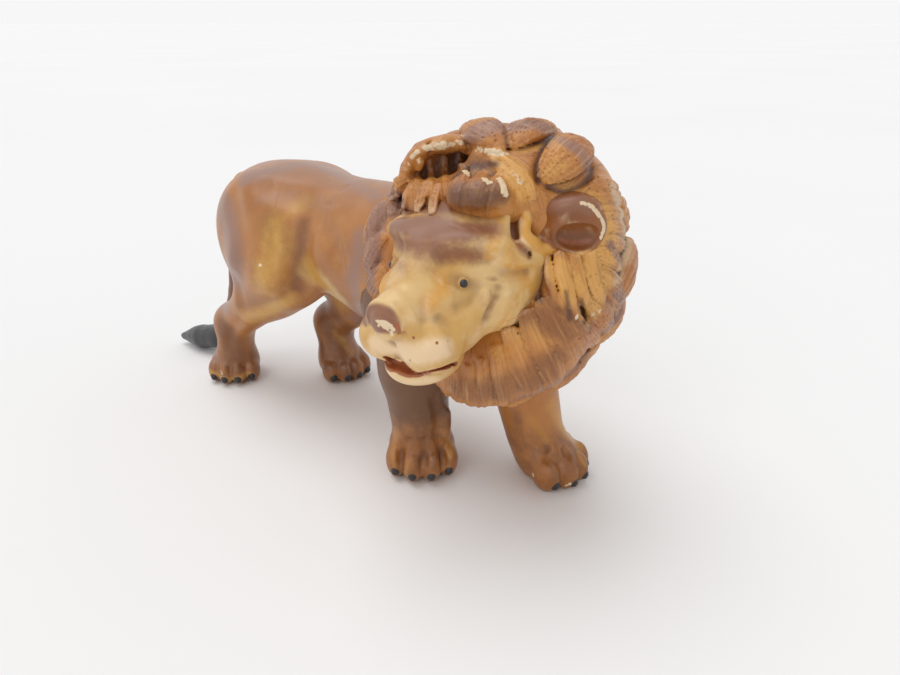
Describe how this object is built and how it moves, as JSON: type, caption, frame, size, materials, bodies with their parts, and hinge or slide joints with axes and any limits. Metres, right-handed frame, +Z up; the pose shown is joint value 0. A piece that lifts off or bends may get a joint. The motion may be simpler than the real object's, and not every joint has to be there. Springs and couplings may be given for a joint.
{
  "type": "toy lion figure",
  "caption": "Moulded toy lion standing on four paws, thick mane, head turned over its right shoulder, tail hanging with its tuft near the ground.",
  "frame": {"origin": "on the floor, under the middle of the figure's box", "axes": "+Z up, the lion faces -Y, +X is its left"},
  "size_m": [0.0538, 0.1376, 0.0726],
  "materials": {
    "coat_paint": "satin hand-sprayed paint, orange-brown with a darker back",
    "fore_leg_paint": "satin hand-sprayed paint, darker orange-brown",
    "tail_paint": "satin hand-sprayed paint, orange-brown running into a slate-black tuft",
    "face_paint": "satin hand-sprayed paint, cream yellow with a brown forehead and nose",
    "jaw_paint": "satin hand-sprayed paint, pale cream",
    "mane_paint": "satin hand-sprayed paint, dark brown over orange with rubbed cream tips"
  },
  "bodies": {
    "root": {"torso": "coat_paint", "right_hind_leg": "coat_paint", "left_hind_leg": "coat_paint", "right_fore_leg": "fore_leg_paint", "left_fore_leg": "fore_leg_paint", "tail": "tail_paint", "head": "face_paint", "lower_jaw": "jaw_paint", "mane": "mane_paint"}
  },
  "joints": []
}
